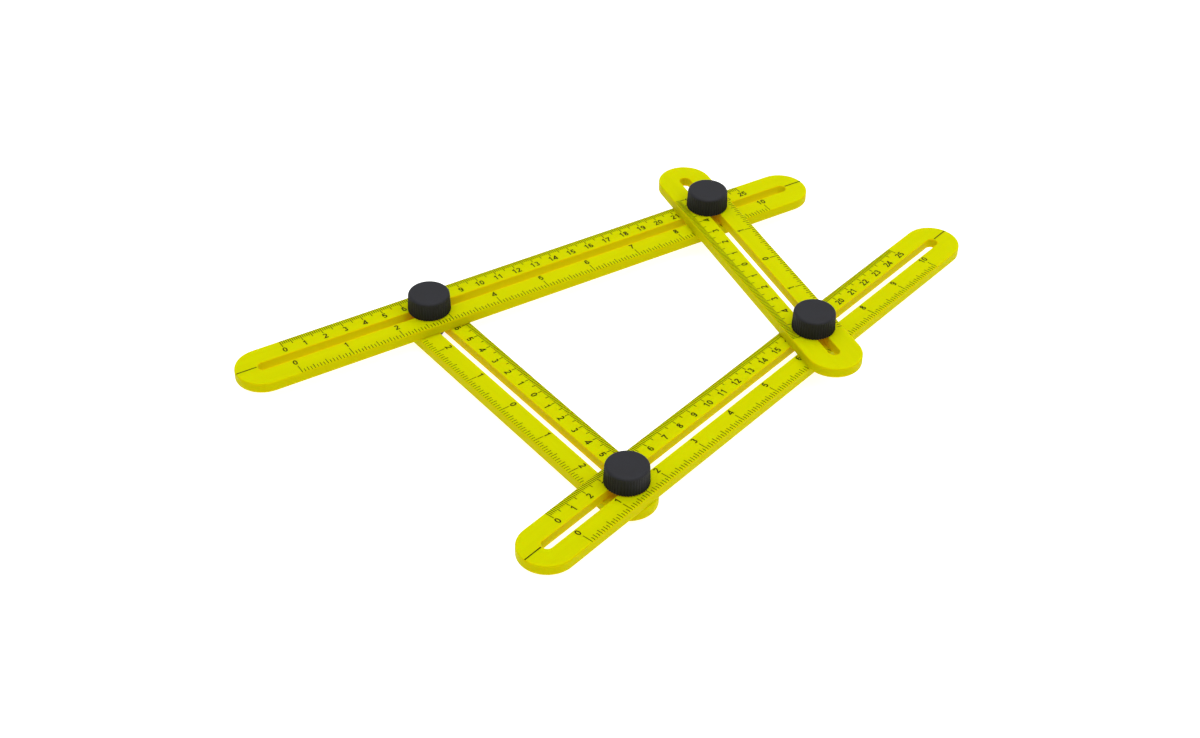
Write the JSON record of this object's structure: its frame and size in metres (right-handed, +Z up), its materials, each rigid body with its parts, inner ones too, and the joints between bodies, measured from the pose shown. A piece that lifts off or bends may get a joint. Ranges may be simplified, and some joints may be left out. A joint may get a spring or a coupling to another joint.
{
  "type": "multi-angle folding ruler",
  "caption": "Hinged frame of slotted, scaled rulers clamped at their crossings by fluted thumb knobs, set to copy and mark out an angle.",
  "frame": {"origin": "middle of the whole outline in plan, on the plane of the lowest bolt heads that the tool stands on", "axes": "+X along the rear long ruler from its zero end, +Y across it away from the front long ruler, +Z up through the bolts to the knobs"},
  "size_m": [0.3452, 0.2137, 0.0272],
  "materials": {
    "ruler_plastic": "satin moulded",
    "print_ink": "pad printed",
    "knob_plastic": "fine moulded",
    "bolt_steel": "black oxide",
    "washer_steel": "zinc plated",
    "insert_brass": "machined"
  },
  "bodies": {
    "rear_ruler": {"long_ruler_rear": "ruler_plastic"},
    "rear_right_bolt": {"bolt_rear_right": "bolt_steel"},
    "rear_right_washer": {"washer_rear_right": "washer_steel"},
    "right_ruler": {"short_ruler_right": "ruler_plastic"},
    "rear_right_knob": {"knob_rear_right": "knob_plastic", "insert_rear_right": "insert_brass"},
    "left_ruler": {"short_ruler_left": "ruler_plastic", "bolt_rear_left": "bolt_steel", "washer_rear_left": "washer_steel"},
    "rear_left_knob": {"knob_rear_left": "knob_plastic", "insert_rear_left": "insert_brass"},
    "front_right_bolt": {"bolt_front_right": "bolt_steel", "washer_front_right": "washer_steel"},
    "front_ruler": {"long_ruler_front": "ruler_plastic"},
    "front_right_knob": {"knob_front_right": "knob_plastic", "insert_front_right": "insert_brass"},
    "front_left_bolt": {"bolt_front_left": "bolt_steel", "washer_front_left": "washer_steel"},
    "front_left_knob": {"knob_front_left": "knob_plastic", "insert_front_left": "insert_brass"}
  },
  "joints": [
    {"name": "rear_slide", "type": "slide", "parent": "rear_ruler", "child": "rear_right_bolt", "axis": [1, 0, 0], "range_m": [-0.0825, 0.044]},
    {"name": "right_swivel", "type": "hinge", "parent": "rear_right_bolt", "child": "rear_right_washer", "pos_m": [0.07818, 0.06974, 0.0076], "axis": [0, 0, 1], "range_deg": [-14, 0]},
    {"name": "right_slide", "type": "slide", "parent": "rear_right_washer", "child": "right_ruler", "axis": [0.1236, 0.9923, 0], "range_m": [-0.024, 0.019]},
    {"name": "rear_right_knob_turn", "type": "hinge", "parent": "rear_right_bolt", "child": "rear_right_knob", "pos_m": [0.07818, 0.06974, 0.0076], "axis": [0, 0, 1], "range_deg": [0, 360]},
    {"name": "left_swivel", "type": "hinge", "parent": "rear_right_bolt", "child": "left_ruler", "pos_m": [-0.07612, 0.06974, 0.0076], "axis": [0, 0, 1], "range_deg": [-14, 0]},
    {"name": "rear_left_knob_turn", "type": "hinge", "parent": "left_ruler", "child": "rear_left_knob", "pos_m": [-0.07612, 0.06974, 0.0076], "axis": [0, 0, 1], "range_deg": [0, 360]},
    {"name": "fold", "type": "hinge", "parent": "rear_right_bolt", "child": "front_right_bolt", "pos_m": [0.1009, 0.01283, 0.0076], "axis": [0, 0, 1], "range_deg": [-28, 0]},
    {"name": "front_slide", "type": "slide", "parent": "front_right_bolt", "child": "front_ruler", "axis": [0.9503, 0.3113, 0], "range_m": [-0.0985, 0.05]},
    {"name": "front_right_knob_turn", "type": "hinge", "parent": "front_right_bolt", "child": "front_right_knob", "pos_m": [0.06492, -0.03677, 0.0076], "axis": [0, 0, 1], "range_deg": [0, 360]},
    {"name": "front_left_swivel", "type": "hinge", "parent": "front_right_bolt", "child": "front_left_bolt", "pos_m": [-0.06128, -0.07811, 0.0076], "axis": [0, 0, 1], "range_deg": [0, 14]},
    {"name": "front_left_knob_turn", "type": "hinge", "parent": "front_left_bolt", "child": "front_left_knob", "pos_m": [-0.06128, -0.07811, 0.0076], "axis": [0, 0, 1], "range_deg": [0, 360]}
  ],
  "couplings": [
    {"joint": "left_swivel", "follows": "fold", "ratio": 0.5},
    {"joint": "right_swivel", "follows": "fold", "ratio": 0.5},
    {"joint": "front_left_swivel", "follows": "fold", "ratio": -0.5}
  ]
}
